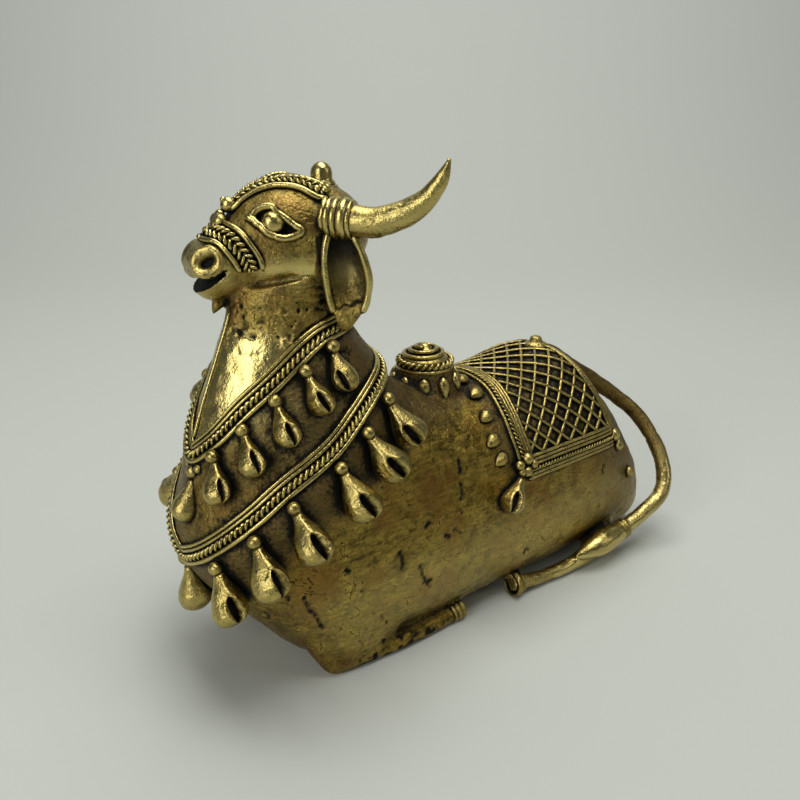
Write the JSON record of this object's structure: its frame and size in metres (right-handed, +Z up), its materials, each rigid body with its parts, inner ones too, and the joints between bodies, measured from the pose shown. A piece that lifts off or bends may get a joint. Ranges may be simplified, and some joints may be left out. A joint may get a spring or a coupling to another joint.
{
  "type": "cast brass nandi bull figure",
  "caption": "Couched bull figure with raised head, curved horn, bell necklaces, latticed saddle cloth and a tail curling round to the hind leg.",
  "frame": {"origin": "middle of the bounding box at floor level", "axes": "-X is the way the bull faces, -Y its left side, +Z up"},
  "size_m": [0.1772, 0.0748, 0.1378],
  "materials": {
    "brass": "satin cast surface, rubbed bright on the high parts and dark brown in the hollows"
  },
  "bodies": {
    "root": {"nandi_bull": "brass"}
  },
  "joints": []
}
